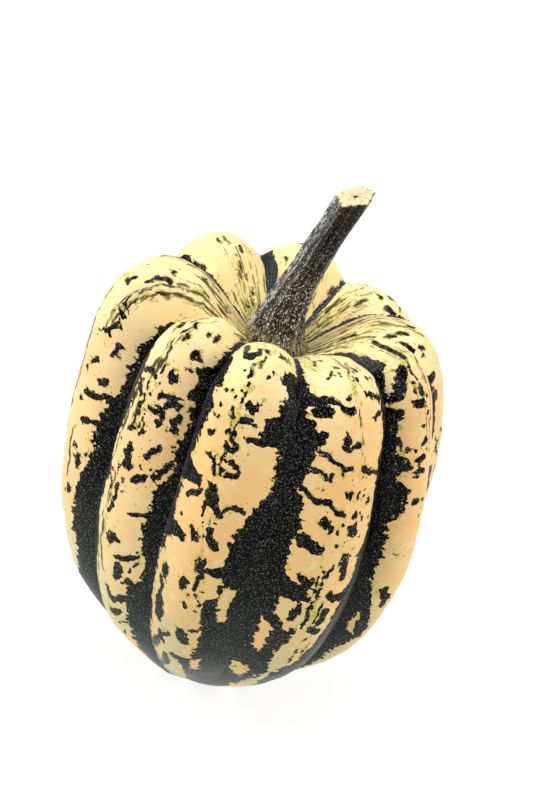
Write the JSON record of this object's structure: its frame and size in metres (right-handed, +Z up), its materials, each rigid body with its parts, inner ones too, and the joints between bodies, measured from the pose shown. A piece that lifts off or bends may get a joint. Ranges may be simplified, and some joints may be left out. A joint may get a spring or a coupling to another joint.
{
  "type": "acorn squash",
  "caption": "Whole ribbed acorn squash with mottled cream and dark green rind and a cut, slanting stalk, resting on the flat spot at its blossom end.",
  "frame": {"origin": "middle of the flat spot at the blossom end, on which the fruit rests", "axes": "+Z up along the fruit's axis to the stalk, -Y towards the side that the picture shows"},
  "size_m": [0.1143, 0.1151, 0.1672],
  "materials": {
    "rind": "waxy satin rind, cream with dark green bands along the furrows",
    "stalk_skin": "dry, rough and fibrous"
  },
  "bodies": {
    "root": {"fruit": "rind", "stalk": "stalk_skin"}
  },
  "joints": []
}
